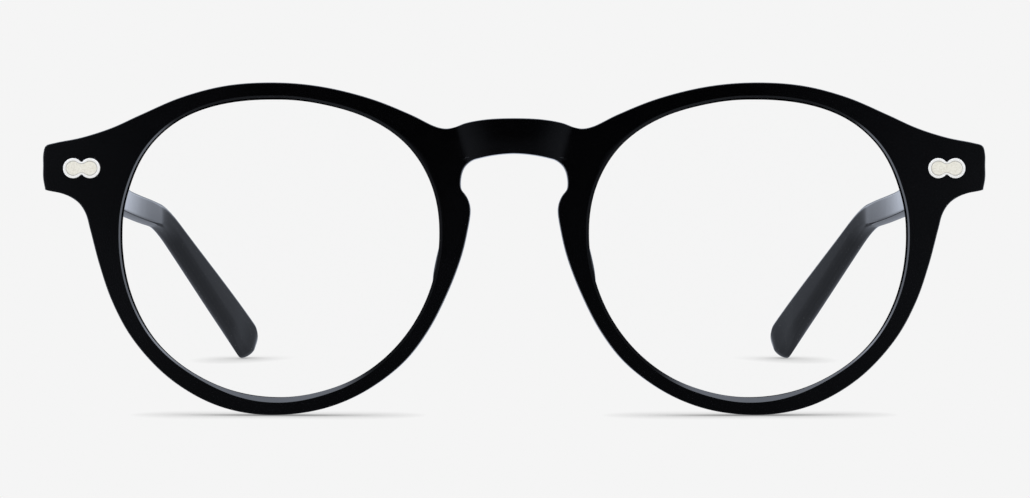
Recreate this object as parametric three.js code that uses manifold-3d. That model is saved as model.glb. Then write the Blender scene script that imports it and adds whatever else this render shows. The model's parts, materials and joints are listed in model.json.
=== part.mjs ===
// Round eyeglasses: a black acetate front with a keyhole bridge, two lenses, riveted five-knuckle hinges and
// two acetate temples with a core wire. Millimetres, +Z up. The front faces -Y and the temples run back
// along +Y. The glasses stand open on the bottoms of the rims and the tips of the temples, as on a table.
// Left and right are the wearer's: left is +X. Each side's pieces are made for +X and mirrored for -X.
import * as THREE from 'three';
import { mergeVertices } from 'three/addons/utils/BufferGeometryUtils.js';
import Module from 'manifold-3d';

const wasm = await Module();
wasm.setup();

// Lenses and the openings that hold them
const lensWidth = 48;
const lensRise = 20.13;
const lensDrop = 24.43;
const bridgeGap = 20.9;
const lensEdge = 1.6;
const lensEdgeTip = 0.5;
const lensCrown = 1.8;
const bevelHeight = 0.5;
const lensSegments = 60;
const lensRings = 2;
const outlineSteps = 2;
const fullnessUpperTemple = 2.44;
const fullnessUpperNose = 2.2;
const fullnessLowerNose = 2.02;
const fullnessLowerTemple = 2.12;

// The front
const frontThickness = 4;
const rimWidth = 2.6;
const bridgeHeight = 5.13;
const endPieceReach = 8.74;
const endPieceHeight = 6.9;
const endPieceRise = 9.86;
const edgeRound = 0.35;
const edgeRoundSteps = 1;
const wrapRadius = 800;
const bridgeArch = 0.7;
const bridgeDip = 5.39;

// Gaps: between seated faces, between a pin and its hole, and between a turning screw and its knuckle
const seatGap = 0.3;
const pinGap = 0.15;
const screwGap = 0.08;
const overrun = 2;
const weldDistance = 1e-5;

// Plaques on the end pieces, each with two legs through the front
const plaqueInset = 5.78;
const plaqueLobe = 3.1;
const plaquePitch = 2.4;
const plaqueFieldLobe = 2.56;
const plaqueFieldPitch = 2.1;
const plaqueFieldDepth = 0.12;
const plaqueThickness = 0.75;
const plaqueProud = 0.25;
const plaqueRound = 0.08;
const legWidth = 1.1;

// Hinges
const knuckleCount = 5;
const knuckleWidth = 2.5;
const knuckleGap = 0.2;
const hingeMargin = 0.8;
const hingeStandIn = 0.8;
const hingeDrop = 0.24;
const leafThickness = 0.8;
const leafSink = 0.4;
const leafMargin = 0.8;
const leafFlush = 0.15;
const templeLeafLength = 10.5;
const screwWidth = 1.3;
const screwHeadWidth = 2.3;
const screwHeadHeight = 0.6;
const screwSlot = 0.35;
const rivetWidth = 1.1;
const rivetHeadWidth = 2.1;
const rivetHeadHeight = 0.4;
const rivetPitch = 3.6;
const rivetStart = 4.2;
const roundSegments = 20;

// Temples
const templeLength = 145;
const templeSetback = 0.8;
const templeThickness = 3.4;
const tipThickness = 3.35;
const templeHeight = 6.4;
const templeWaist = 3.88;
const waistStart = 58;
const tipHeight = 6.85;
const bendStart = 85;
const bendAngle = 22.9;
const bendRadius = 33;
const templeToeIn = 3.7;
const pantoscopicTilt = 2.7;
const tuckAngle = 10.2;
const tuckStart = 84;
const templeCorner = 1.1;
const tipRound = 4;
const tipReachShare = 0.96;
const tipSideShare = 0.5;
const tipSteps = 5;
const shankSteps = 6;
const bendSteps = 6;
const tailSteps = 5;
const cornerPoints = 3;
const coreWidth = 1.1;
const coreHeight = 1.8;
const coreEndMargin = 14;
const coreSteps = 12;

// Steps of the search for the lean
const leanSteps = 40;

// Nose pads
const padWidth = 2.4;
const padDepth = 4.2;
const padFlare = 24;
const padLowShare = -0.4;
const padHighShare = 0.25;
const padEndShare = 0.06;
const padFullness = 0.7;
const padSteps = 10;
const padSides = 8;

const openingHalfWidth = lensWidth / 2 - bevelHeight;
const openingRise = lensRise - bevelHeight;
const openingDrop = lensDrop - bevelHeight;
const lensX = bridgeGap / 2 + lensWidth / 2;
const lensZ = openingDrop + rimWidth;
const rimHalfWidth = openingHalfWidth + rimWidth;
const rimRise = openingRise + rimWidth;
const rimDrop = openingDrop + rimWidth;
const frontTop = lensZ + rimRise;
const endPieceZ = lensZ + endPieceRise;
const endPieceX = lensX + rimHalfWidth + endPieceReach;

const hingeHeight = templeHeight - 2 * hingeMargin;
const hingeInset = templeSetback + templeThickness + hingeStandIn;

const acetate = { color: 0x08080a, roughness: 0.18, metalness: 0 };
const lensPlastic = { color: 0xeef2f4, roughness: 0.03, metalness: 0, transparent: true, opacity: 0.15 };
const plaqueMetal = { color: 0xd9d4c4, roughness: 0.35, metalness: 0.8 };
const hingeMetal = { color: 0xb9b9bb, roughness: 0.3, metalness: 1 };

// Closed meshes for joining and cutting

function toSolid(geometry) {
  const bare = geometry.index ? geometry.clone() : geometry;
  const positions = new THREE.BufferGeometry();
  positions.setAttribute('position', bare.getAttribute('position').clone());
  if (bare.index) positions.setIndex(bare.index.clone());
  const merged = mergeVertices(positions, weldDistance);
  const vertProperties = new Float32Array(merged.getAttribute('position').array);
  const triVerts = new Uint32Array(merged.index.array);
  return new wasm.Manifold(new wasm.Mesh({ numProp: 3, vertProperties, triVerts }));
}

function toGeometry(solid) {
  const mesh = solid.getMesh();
  const geometry = new THREE.BufferGeometry();
  geometry.setAttribute('position', new THREE.Float32BufferAttribute(mesh.vertProperties, 3));
  geometry.setIndex(Array.from(mesh.triVerts));
  return geometry;
}

function cut(geometry, tools) {
  return toGeometry(tools.reduce((solid, tool) => solid.subtract(toSolid(tool)), toSolid(geometry)));
}

function join(geometries) {
  const solids = geometries.map(toSolid);
  return toGeometry(solids.slice(1).reduce((whole, solid) => whole.add(solid), solids[0]));
}

function mirrored(geometry) {
  const copy = geometry.clone();
  copy.scale(-1, 1, 1);
  const index = copy.index.array;
  for (let i = 0; i < index.length; i += 3) [index[i], index[i + 1]] = [index[i + 1], index[i]];
  return copy;
}

// Forms

// A loft through rings of points, each ring with as many points as the last, closed flat at both ends.
function loft(rings) {
  const count = rings[0].length;
  const positions = rings.flat().flatMap((p) => [p.x, p.y, p.z]);
  const index = [];
  for (let r = 0; r < rings.length - 1; r++) {
    for (let i = 0; i < count; i++) {
      const a = r * count + i;
      const b = r * count + ((i + 1) % count);
      index.push(a, b, b + count, a, b + count, a + count);
    }
  }
  for (const [ring, flip] of [[0, true], [rings.length - 1, false]]) {
    const middle = positions.length / 3;
    const centre = rings[ring].reduce((sum, p) => sum.add(p), new THREE.Vector3()).divideScalar(count);
    positions.push(centre.x, centre.y, centre.z);
    for (let i = 0; i < count; i++) {
      const a = ring * count + i;
      const b = ring * count + ((i + 1) % count);
      index.push(middle, flip ? b : a, flip ? a : b);
    }
  }
  const geometry = new THREE.BufferGeometry();
  geometry.setAttribute('position', new THREE.Float32BufferAttribute(positions, 3));
  geometry.setIndex(index);
  return geometry;
}

function box(width, depth, height) {
  return new THREE.BoxGeometry(width, depth, height);
}

// A round bar along Z with its middle at the origin.
function bar(width, length) {
  return new THREE.CylinderGeometry(width / 2, width / 2, length, roundSegments).rotateX(Math.PI / 2);
}

// A round bar along Y, from one depth to another.
function pin(width, fromY, toY) {
  const length = toY - fromY;
  const shape = new THREE.CylinderGeometry(width / 2, width / 2, length, roundSegments);
  return shape.translate(0, fromY + length / 2, 0);
}

// The lens outline grown by an offset: a superellipse that is fuller above its widest line than below it.
function lensOutline(offset, scale = 1) {
  const points = [];
  for (let i = 0; i < lensSegments; i++) {
    const angle = (i / lensSegments) * 2 * Math.PI;
    const c = Math.cos(angle);
    const s = Math.sin(angle);
    const upper = c > 0 ? fullnessUpperTemple : fullnessUpperNose;
    const lower = c > 0 ? fullnessLowerTemple : fullnessLowerNose;
    const power = 2 / (s > 0 ? upper : lower);
    const height = (s > 0 ? openingRise : openingDrop) + offset;
    const x = Math.sign(c) * Math.abs(c) ** power * (openingHalfWidth + offset) * scale;
    const z = Math.sign(s) * Math.abs(s) ** power * height * scale;
    points.push(new THREE.Vector2(lensX + x, lensZ + z));
  }
  return points;
}

function outlineRing(offset, y, scale = 1) {
  return lensOutline(offset, scale).map((p) => new THREE.Vector3(p.x, y, p.y));
}

// The flat sheet is wrapped round a far vertical line behind it, and its bridge stands a little forward.
function wrapPoint(x, y, z) {
  const angle = x / wrapRadius;
  const reach = Math.min(Math.abs(x) / (bridgeGap / 2 + rimWidth), 1);
  const arch = bridgeArch * (1 + Math.cos(Math.PI * reach)) / 2;
  const radius = wrapRadius - y;
  return new THREE.Vector3(radius * Math.sin(angle), wrapRadius - arch - radius * Math.cos(angle), z);
}

function wrapped(geometry) {
  const position = geometry.getAttribute('position');
  for (let i = 0; i < position.count; i++) {
    const p = wrapPoint(position.getX(i), position.getY(i), position.getZ(i));
    position.setXYZ(i, p.x, p.y, p.z);
  }
  return geometry;
}

// The front's outline, as shares of what each stretch follows. Rim points are shares of the rim's half
// width and of its rise or drop, from the lens centre. End piece points are shares of its reach past the rim
// and of half its height. Bridge points are shares of half the gap between the lenses and of its height.
const browShares = [
  [-0.88, 0.704], [-0.739, 0.784], [-0.516, 0.888], [-0.235, 0.969], [0.029, 0.996], [0.3, 0.975],
  [0.552, 0.899], [0.779, 0.786], [0.949, 0.697],
];
const endPieceShares = [
  [0.354, 1.234], [0.803, 1.011], [0.953, 0.887], [0.997, 0.543], [1, 0.05], [1, -0.475],
  [0.96, -0.995],
];
const endPieceUnderShares = [
  [0.863, -1.048], [0.699, -1.13], [0.534, -1.292], [0.382, -1.571],
];
const rimTempleShares = [
  [1.091, 0.132], [1.066, 0.028], [1.012, -0.175], [0.941, -0.374], [0.829, -0.575],
  [0.644, -0.776], [0.437, -0.91], [0.246, -0.977], [0.026, -1],
];
const rimNoseShares = [
  [-0.238, -0.968], [-0.464, -0.88], [-0.689, -0.72], [-0.828, -0.549], [-0.941, -0.337],
  [-1.023, -0.127], [-1.06, 0.03], [-1.074, 0.136], [-1.073, 0.176], [-1.065, 0.214],
  [-1.049, 0.252], [-1.023, 0.293], [-1.019, 0.336], [-1.022, 0.372], [-1.03, 0.411],
  [-1.047, 0.447],
];
const bridgeUnderShares = [
  [0.591, -1.196], [0.466, -1.12], [0.256, -1.039], [0, -1],
];
const bridgeTopShares = [
  [0, 0], [0.403, -0.035], [0.684, -0.137], [0.835, -0.252], [0.957, -0.291],
];

const bridgeTop = frontTop - bridgeDip;

function rimPoint([u, v]) {
  return new THREE.Vector3(lensX + u * rimHalfWidth, lensZ + v * (v > 0 ? rimRise : rimDrop), 0);
}

function endPiecePoint([u, v]) {
  const rimEdge = lensX + rimHalfWidth;
  return new THREE.Vector3(rimEdge + u * endPieceReach, endPieceZ + v * endPieceHeight / 2, 0);
}

function bridgePoint([u, v]) {
  return new THREE.Vector3(u * bridgeGap / 2, bridgeTop + v * bridgeHeight, 0);
}

// A smooth run through the points, and through their mirror image first or last.
function smoothRun(points, mirrorFirst) {
  const other = points.filter((p) => p.x > 0).map((p) => new THREE.Vector3(-p.x, p.y, 0)).reverse();
  const whole = mirrorFirst ? [...other, ...points] : [...points, ...other];
  const curve = new THREE.CatmullRomCurve3(whole, false, 'centripetal');
  return curve.getPoints((whole.length - 1) * outlineSteps);
}

function frontShape() {
  const over = smoothRun([
    ...bridgeTopShares.map(bridgePoint), ...browShares.map(rimPoint), ...endPieceShares.map(endPiecePoint),
  ], true);
  const under = smoothRun([
    endPiecePoint(endPieceShares.at(-1)), ...endPieceUnderShares.map(endPiecePoint),
    ...rimTempleShares.map(rimPoint), ...rimNoseShares.map(rimPoint), ...bridgeUnderShares.map(bridgePoint),
  ], false);
  const around = [...over, ...under.slice(1, -1)].reverse();
  const shape = new THREE.Shape(around.map((p) => new THREE.Vector2(p.x, p.y)));
  const opening = lensOutline(0);
  shape.holes.push(new THREE.Path(opening));
  shape.holes.push(new THREE.Path(opening.map((p) => new THREE.Vector2(-p.x, p.y))));
  return shape;
}

// A sheet with rounded edges, its outline in X and Z, its front face at Y 0 and its back face at a depth.
function sheet(shape, thickness, round, steps) {
  const geometry = new THREE.ExtrudeGeometry(shape, {
    depth: thickness - 2 * round,
    bevelEnabled: round > 0,
    bevelThickness: round,
    bevelSize: round,
    bevelOffset: -round,
    bevelSegments: steps,
    curveSegments: roundSegments / 2,
  });
  return geometry.rotateX(Math.PI / 2).translate(0, thickness - round, 0);
}

// A disc with a V edge, a little wider than the lens's own bevelled edge, which leaves the lens groove.
function grooveCutter() {
  const middle = frontThickness / 2;
  const mouth = lensEdge / 2 + seatGap;
  const floor = lensEdgeTip / 2 + seatGap;
  const depth = bevelHeight + seatGap;
  const slope = (mouth - floor) / depth;
  const inside = edgeRound;
  const lip = mouth + slope * inside;
  return loft([
    outlineRing(-inside, middle + lip),
    outlineRing(depth, middle + floor),
    outlineRing(depth, middle - floor),
    outlineRing(-inside, middle - lip),
  ]);
}

function twoLobes(lobe, pitch) {
  const radius = lobe / 2;
  const half = pitch / 2;
  const sweep = Math.PI - Math.acos(half / radius);
  const shape = new THREE.Shape();
  shape.absarc(half, 0, radius, -sweep, sweep, false);
  shape.absarc(-half, 0, radius, Math.PI - sweep, Math.PI + sweep, false);
  return shape;
}

// Places in the flat sheet
const plaqueX = endPieceX - plaqueInset;
const hingeX = endPieceX - hingeInset;
const knuckleRadius = knuckleWidth / 2;
const leafBack = frontThickness - leafSink + leafThickness;
const hingeY = leafBack + knuckleGap + knuckleRadius;
const hingeZ = endPieceZ - hingeDrop;
const legSpots = [plaqueX - plaquePitch / 2, plaqueX + plaquePitch / 2];
const frontLeafInner = legSpots[0] - legWidth / 2 - leafMargin;
const frontLeafOuter = hingeX + knuckleRadius;

function front() {
  const tools = [];
  const pocketDepth = plaqueThickness - plaqueProud + pinGap;
  const recess = sheet(twoLobes(plaqueLobe + 2 * pinGap, plaquePitch), pocketDepth + overrun, 0, 1);
  const leafPocketDepth = leafSink + pinGap;
  const leafPocketWidth = frontLeafOuter - frontLeafInner + 2 * pinGap;
  const leafPocket = box(leafPocketWidth, leafPocketDepth + overrun, hingeHeight + 2 * pinGap);
  const leafPocketY = frontThickness - leafPocketDepth + (leafPocketDepth + overrun) / 2;
  tools.push(grooveCutter());
  tools.push(recess.translate(plaqueX, -overrun, hingeZ));
  tools.push(leafPocket.translate((frontLeafInner + frontLeafOuter) / 2, leafPocketY, hingeZ));
  for (const x of legSpots) {
    const hole = pin(legWidth + 2 * pinGap, -overrun, frontThickness + overrun);
    tools.push(hole.translate(x, 0, hingeZ));
  }
  const both = tools.flatMap((tool) => {
    const solid = toGeometry(toSolid(tool));
    return [solid, mirrored(solid)];
  });
  return wrapped(cut(sheet(frontShape(), frontThickness, edgeRound, edgeRoundSteps), both));
}

// A lens: a shallow dome whose edge lies in the groove's plane, with a bevel round it.
function lens() {
  const middle = frontThickness / 2;
  const face = (side) => {
    const rings = [];
    for (let i = 1; i <= lensRings; i++) {
      const share = i / lensRings;
      const dome = lensCrown * (1 - share ** 2);
      rings.push(outlineRing(0, middle + side * lensEdge / 2 - dome, share));
    }
    return rings;
  };
  const bevel = [-1, 1].map((side) => outlineRing(bevelHeight, middle + side * lensEdgeTip / 2));
  const rings = [...face(-1), ...bevel, ...face(1).reverse()];
  const geometry = loft(rings.reverse());
  const position = geometry.getAttribute('position');
  position.setY(position.count - 2, middle + lensEdge / 2 - lensCrown);
  position.setY(position.count - 1, middle - lensEdge / 2 - lensCrown);
  return wrapped(geometry);
}

// A nose pad: a rounded ridge behind the rim beside the nose, flat where it is glued and flared backwards.
function nosePad() {
  const edge = rimNoseShares.filter(([, v]) => v > padLowShare && v < padHighShare).map(rimPoint);
  const path = new THREE.CatmullRomCurve3(edge, false, 'centripetal');
  const flare = Math.tan(THREE.MathUtils.degToRad(padFlare));
  const rings = [];
  for (let i = 0; i <= padSteps; i++) {
    const share = i / padSteps;
    const swell = Math.sin(Math.PI * (padEndShare + (1 - 2 * padEndShare) * share)) ** padFullness;
    const at = path.getPointAt(share);
    const halfWidth = padWidth / 2 * swell;
    const ring = [];
    for (let j = 0; j <= padSides; j++) {
      const angle = Math.PI * j / padSides;
      const back = padDepth * swell * Math.sin(angle);
      const x = at.x + padWidth / 2 + edgeRound + halfWidth * Math.cos(angle) + flare * back;
      ring.push(new THREE.Vector3(x, frontThickness + seatGap + back, at.y));
    }
    rings.push(ring);
  }
  return wrapped(loft(rings));
}

// A plaque: two joined lobes with a sunk field, and two legs that hold the front leaf.
function plaque() {
  const face = sheet(twoLobes(plaqueLobe, plaquePitch), plaqueThickness, plaqueRound, 1);
  const field = sheet(twoLobes(plaqueFieldLobe, plaqueFieldPitch), plaqueFieldDepth + overrun, 0, 1);
  const legEnd = leafBack + plaqueProud - leafFlush;
  const legs = [-1, 1].map((side) => {
    return pin(legWidth, plaqueThickness / 2, legEnd).translate(side * plaquePitch / 2, 0, 0);
  });
  const whole = join([face, ...legs]);
  return cut(whole, [field.translate(0, -overrun, 0)]).translate(0, -plaqueProud, 0);
}

// Knuckles along Z about the hinge axis, every other one, each with a web towards its leaf.
function knuckles(first, web) {
  const height = (hingeHeight - (knuckleCount - 1) * knuckleGap) / knuckleCount;
  const pieces = [];
  for (let i = first; i < knuckleCount; i += 2) {
    const z = -hingeHeight / 2 + height / 2 + i * (height + knuckleGap);
    pieces.push(bar(knuckleWidth, height).translate(0, 0, z));
    pieces.push(box(web.x[1] - web.x[0], web.y[1] - web.y[0], height)
      .translate((web.x[0] + web.x[1]) / 2, (web.y[0] + web.y[1]) / 2, z));
  }
  return pieces;
}

// The front leaf, drawn about the hinge axis.
function frontLeaf() {
  const plateBack = leafBack - hingeY;
  const inner = frontLeafInner - hingeX;
  const outer = frontLeafOuter - hingeX;
  const plate = box(outer - inner, leafThickness, hingeHeight)
    .translate((inner + outer) / 2, plateBack - leafThickness / 2, 0);
  const web = { x: [-knuckleRadius, knuckleRadius / 2], y: [plateBack - leafThickness / 2, 0] };
  const holes = legSpots.map((x) => {
    const hole = pin(legWidth + 2 * pinGap, plateBack - leafThickness - overrun, plateBack);
    return hole.translate(x - hingeX, 0, 0);
  });
  const bore = bar(screwWidth + 2 * screwGap, hingeHeight + 2 * overrun);
  return cut(join([plate, ...knuckles(0, web)]), [bore, ...holes]);
}

const templeInner = hingeStandIn;
const templeOuter = templeInner + templeThickness;
const leafFace = knuckleRadius + knuckleGap;
const leafFloor = leafFace + leafThickness;
const leafStepY = knuckleRadius + 2 * knuckleGap;
const leafFrontY = knuckleRadius - knuckleGap;

// The temple leaf's outline seen from above: thin beside the knuckles, then flush with the temple's side.
function leafOutline(grow, side) {
  const shape = new THREE.Shape();
  shape.moveTo(leafFace - grow, -leafFrontY - grow);
  shape.lineTo(leafFloor + grow, -leafFrontY - grow);
  shape.lineTo(leafFloor + grow, templeLeafLength + grow);
  shape.lineTo(side, templeLeafLength + grow);
  shape.lineTo(side, leafStepY);
  shape.lineTo(leafFace - grow, leafStepY);
  shape.closePath();
  return shape;
}

function upright(shape, height) {
  const geometry = new THREE.ExtrudeGeometry(shape, { depth: height, bevelEnabled: false });
  return geometry.translate(0, 0, -height / 2);
}

const rivetSpots = [rivetStart, rivetStart + rivetPitch];

function templeLeaf() {
  const plate = upright(leafOutline(0, templeInner + leafFlush), hingeHeight);
  const web = { x: [0, leafFace + leafThickness / 2], y: [-knuckleRadius / 2, knuckleRadius] };
  const bore = bar(screwWidth + 2 * screwGap, hingeHeight + 2 * overrun);
  const holes = rivetSpots.map((y) => {
    return acrossBar(rivetWidth + 2 * pinGap, leafFace - overrun, leafFloor + overrun).translate(0, y, 0);
  });
  return cut(join([plate, ...knuckles(1, web)]), [bore, ...holes]);
}

// A round bar along X, from one side to another.
function acrossBar(width, fromX, toX) {
  const length = toX - fromX;
  const shape = new THREE.CylinderGeometry(width / 2, width / 2, length, roundSegments);
  return shape.rotateZ(Math.PI / 2).translate(fromX + length / 2, 0, 0);
}

function rivet() {
  const shank = acrossBar(rivetWidth, leafFace, templeOuter - rivetHeadHeight / 2);
  const head = acrossBar(rivetHeadWidth, templeOuter - rivetHeadHeight, templeOuter);
  return join([shank, head]);
}

function screw() {
  const length = hingeHeight + screwHeadHeight / 2;
  const shank = bar(screwWidth, length).translate(0, 0, screwHeadHeight / 4);
  const headZ = hingeHeight / 2 + screwGap + screwHeadHeight / 2;
  const head = bar(screwHeadWidth, screwHeadHeight).translate(0, 0, headZ);
  const slot = box(screwHeadWidth + overrun, screwSlot, screwHeadHeight);
  return cut(join([shank, head]), [slot.translate(0, 0, headZ + screwHeadHeight / 2)]);
}

const bend = THREE.MathUtils.degToRad(bendAngle);
const bendEnd = bendStart + bendRadius * bend;
const tuck = Math.tan(THREE.MathUtils.degToRad(tuckAngle));

// The temple's centre line from the hinge axis: straight, a bend down over the ear that also tucks in
// towards the head, and straight to the tip.
function templeFrame(s) {
  const turned = THREE.MathUtils.clamp((s - bendStart) / bendRadius, 0, bend);
  const past = Math.max(s - bendEnd, 0);
  const y = Math.min(s, bendStart) + bendRadius * Math.sin(turned) + past * Math.cos(turned);
  const z = bendRadius * (Math.cos(turned) - 1) - past * Math.sin(turned);
  const tucked = THREE.MathUtils.clamp(s - tuckStart, 0, bendEnd - tuckStart);
  const slope = tuck * tucked / (bendEnd - tuckStart);
  const inwards = slope * tucked / 2 + tuck * Math.max(s - bendEnd, 0);
  const forward = new THREE.Vector3(-slope, Math.cos(turned), -Math.sin(turned)).normalize();
  const side = new THREE.Vector3(1, 0, 0).addScaledVector(forward, -forward.x).normalize();
  const up = new THREE.Vector3().crossVectors(side, forward);
  const centre = new THREE.Vector3(templeInner + templeThickness / 2 - inwards, y, z);
  return { centre, side, up };
}

function templeSection(s, width, height, corner) {
  const { centre, side, up } = templeFrame(s);
  centre.addScaledVector(up, -templeSizes(s).drop);
  const radius = Math.min(corner, width / 2, height / 2);
  const ring = [];
  for (let i = 0; i < 4 * cornerPoints; i++) {
    const quarter = Math.floor(i / cornerPoints);
    const angle = (quarter + (i % cornerPoints) / (cornerPoints - 1)) * Math.PI / 2;
    const right = quarter === 0 || quarter === 3 ? 1 : -1;
    const over = quarter < 2 ? 1 : -1;
    const across = right * (width / 2 - radius) + radius * Math.cos(angle);
    const high = over * (height / 2 - radius) + radius * Math.sin(angle);
    ring.push(centre.clone().addScaledVector(side, across).addScaledVector(up, high));
  }
  return ring.reverse();
}

const { smoothstep, lerp } = THREE.MathUtils;

function templeSizes(s) {
  const tapered = lerp(templeHeight, templeWaist, smoothstep(s, templeLeafLength, waistStart));
  const height = lerp(tapered, tipHeight, smoothstep(s, bendStart, templeLength - tipRound));
  const width = lerp(templeThickness, tipThickness, smoothstep(s, templeLeafLength, templeLength));
  const end = THREE.MathUtils.clamp((s - templeLength + tipRound) / tipRound, 0, 1);
  const drawIn = tipRound * (1 - Math.sqrt(1 - (end * tipReachShare) ** 2));
  const drop = (templeHeight - tapered) / 2;
  return { width: width - drawIn * tipSideShare, height: height - 2 * drawIn, drop };
}

function temple(tools) {
  const stations = [-overrun - leafFace, templeLeafLength];
  for (let i = 1; i <= shankSteps; i++) stations.push(lerp(templeLeafLength, tuckStart, i / shankSteps));
  const roundStart = templeLength - tipRound;
  for (let i = 1; i <= bendSteps; i++) stations.push(lerp(tuckStart, bendEnd, i / bendSteps));
  for (let i = 1; i <= tailSteps; i++) stations.push(lerp(bendEnd, roundStart, i / tailSteps));
  for (let i = 1; i <= tipSteps; i++) stations.push(roundStart + tipRound * Math.sin(Math.PI / 2 * i / tipSteps));
  const rings = stations.map((s) => {
    const { width, height } = templeSizes(s);
    return templeSection(s, width, height, templeCorner);
  });
  return cut(loft(rings), tools);
}

function core(start, grow) {
  const stations = [];
  const end = templeLength - coreEndMargin + grow;
  for (let i = 0; i <= coreSteps; i++) stations.push(lerp(start, end, i / coreSteps));
  return loft(stations.map((s) => {
    return templeSection(s, coreWidth + 2 * grow, coreHeight + 2 * grow, coreWidth / 4);
  }));
}

// The groups that place the pieces. Each hinge stands on the wrapped sheet, square to its back face. The
// temple's leaf turns in by the toe-in, and the temple and its core also slope down by the tilt.
function placed(name, parent, place) {
  const group = new THREE.Group();
  group.name = name;
  group.position.copy(place);
  parent.add(group);
  return group;
}

function piece(name, geometry, look) {
  const mesh = new THREE.Mesh(geometry, new THREE.MeshStandardMaterial(look));
  mesh.name = name;
  return mesh;
}

function hingeSeat(x, y) {
  return { place: wrapPoint(x, y, hingeZ), turn: x / wrapRadius };
}

function sided(geometry, side) {
  const solid = geometry.index ? geometry : toGeometry(toSolid(geometry));
  return side > 0 ? solid : mirrored(solid);
}

const glasses = new THREE.Group();
glasses.name = 'glasses';
glasses.add(piece('front', front(), acetate));

// The temple's own cuts: the pocket of its leaf, the rivet holes, the channel of its core wire and the
// mitre that meets the back of the end piece.
const tilt = THREE.MathUtils.degToRad(pantoscopicTilt);
const toeIn = THREE.MathUtils.degToRad(templeToeIn);
const plaqueSeat = hingeSeat(plaqueX, 0);
const axisSeat = hingeSeat(hingeX, hingeY);

function templeTools() {
  const pocket = upright(leafOutline(pinGap, templeInner - overrun), hingeHeight + 2 * pinGap);
  const clear = upright(knuckleRoom(), 2 * templeHeight);
  const holes = rivetSpots.map((y) => {
    const shank = acrossBar(rivetWidth + 2 * pinGap, templeInner - overrun, templeOuter + overrun);
    return shank.translate(0, y, 0);
  });
  const sinks = rivetSpots.map((y) => {
    const sink = templeOuter - rivetHeadHeight - pinGap;
    return acrossBar(rivetHeadWidth + 2 * pinGap, sink, templeOuter + overrun).translate(0, y, 0);
  });
  const mitre = box(4 * templeThickness, 4 * overrun, 2 * templeHeight);
  mitre.translate(templeInner, frontThickness + seatGap - hingeY - 2 * overrun, 0);
  mitre.rotateZ(axisSeat.turn - toeIn);
  const tools = [pocket, clear, ...holes, ...sinks, mitre];
  for (const tool of tools) tool.rotateX(tilt);
  return [...tools, core(templeLeafLength - leafMargin, pinGap)];
}

// The room that the front leaf's knuckles need in the temple's end.
function knuckleRoom() {
  const shape = new THREE.Shape();
  shape.moveTo(templeInner - overrun, -hingeY);
  shape.lineTo(leafFace, -hingeY);
  shape.lineTo(leafFace, leafStepY + pinGap);
  shape.lineTo(templeInner - overrun, leafStepY + pinGap);
  shape.closePath();
  return shape;
}

const templeGeometry = temple(templeTools());
const coreGeometry = core(templeLeafLength + seatGap, 0);
const sources = {
  lens: lens(), pad: nosePad(), plaque: plaque(), frontLeaf: frontLeaf(), screw: screw(),
  templeLeaf: templeLeaf(), rivet: rivet(),
};

for (const [name, side] of [['left', 1], ['right', -1]]) {
  const flip = new THREE.Vector3(side, 1, 1);
  glasses.add(piece(`lens_${name}`, sided(sources.lens, side), lensPlastic));
  glasses.add(piece(`nose_pad_${name}`, sided(sources.pad, side), acetate));
  const seat = placed(`plaque_seat_${name}`, glasses, plaqueSeat.place.clone().multiply(flip));
  seat.rotation.z = side * plaqueSeat.turn;
  seat.add(piece(`plaque_${name}`, sided(sources.plaque, side), plaqueMetal));
  const axis = placed(`hinge_axis_${name}`, glasses, axisSeat.place.clone().multiply(flip));
  const fixed = placed(`hinge_fixed_${name}`, axis, new THREE.Vector3());
  fixed.rotation.z = side * axisSeat.turn;
  fixed.add(piece(`front_leaf_${name}`, sided(sources.frontLeaf, side), hingeMetal));
  fixed.add(piece(`hinge_screw_${name}`, sided(sources.screw, side), hingeMetal));
  const turning = placed(`hinge_turning_${name}`, axis, new THREE.Vector3());
  turning.rotation.z = side * toeIn;
  turning.add(piece(`temple_leaf_${name}`, sided(sources.templeLeaf, side), hingeMetal));
  rivetSpots.forEach((y, i) => {
    const rivetPiece = piece(`rivet_${i + 1}_${name}`, sided(sources.rivet, side), hingeMetal);
    rivetPiece.position.y = y;
    turning.add(rivetPiece);
  });
  const sloped = placed(`temple_slope_${name}`, turning, new THREE.Vector3());
  sloped.rotation.x = -tilt;
  sloped.add(piece(`temple_${name}`, sided(templeGeometry, side), acetate));
  sloped.add(piece(`core_wire_${name}`, sided(coreGeometry, side), hingeMetal));
}

// The glasses lean back until the temple tips touch the surface that the rims stand on.
function lowest(mesh, lean) {
  const position = mesh.geometry.getAttribute('position');
  const point = new THREE.Vector3();
  let low = Infinity;
  for (let i = 0; i < position.count; i++) {
    point.fromBufferAttribute(position, i).applyMatrix4(mesh.matrixWorld);
    low = Math.min(low, point.z * Math.cos(lean) - point.y * Math.sin(lean));
  }
  return low;
}

glasses.updateMatrixWorld(true);
const rims = glasses.getObjectByName('front');
const tip = glasses.getObjectByName('temple_left');
let leanLow = -Math.PI / 4;
let leanHigh = Math.PI / 4;
for (let i = 0; i < leanSteps; i++) {
  const middle = (leanLow + leanHigh) / 2;
  if (lowest(tip, middle) > lowest(rims, middle)) leanLow = middle;
  else leanHigh = middle;
}
glasses.rotation.x = -leanLow;
glasses.updateMatrixWorld(true);

// The origin is on that surface, under the middle of the glasses.
const bounds = new THREE.Box3().setFromObject(glasses, true);
const middle = bounds.getCenter(new THREE.Vector3());
glasses.position.set(-middle.x, -middle.y, -bounds.min.z);
glasses.updateMatrixWorld(true);

export default glasses;
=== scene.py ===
"""Round black acetate eyeglasses, open, standing on a pale studio floor.

Lengths are millimetres until a mesh is made. The front faces -Y, the temples run along +Y, the wearer's left is
+X, and pieces are drawn on the left and mirrored for the right.
"""
import json
import math

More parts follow.
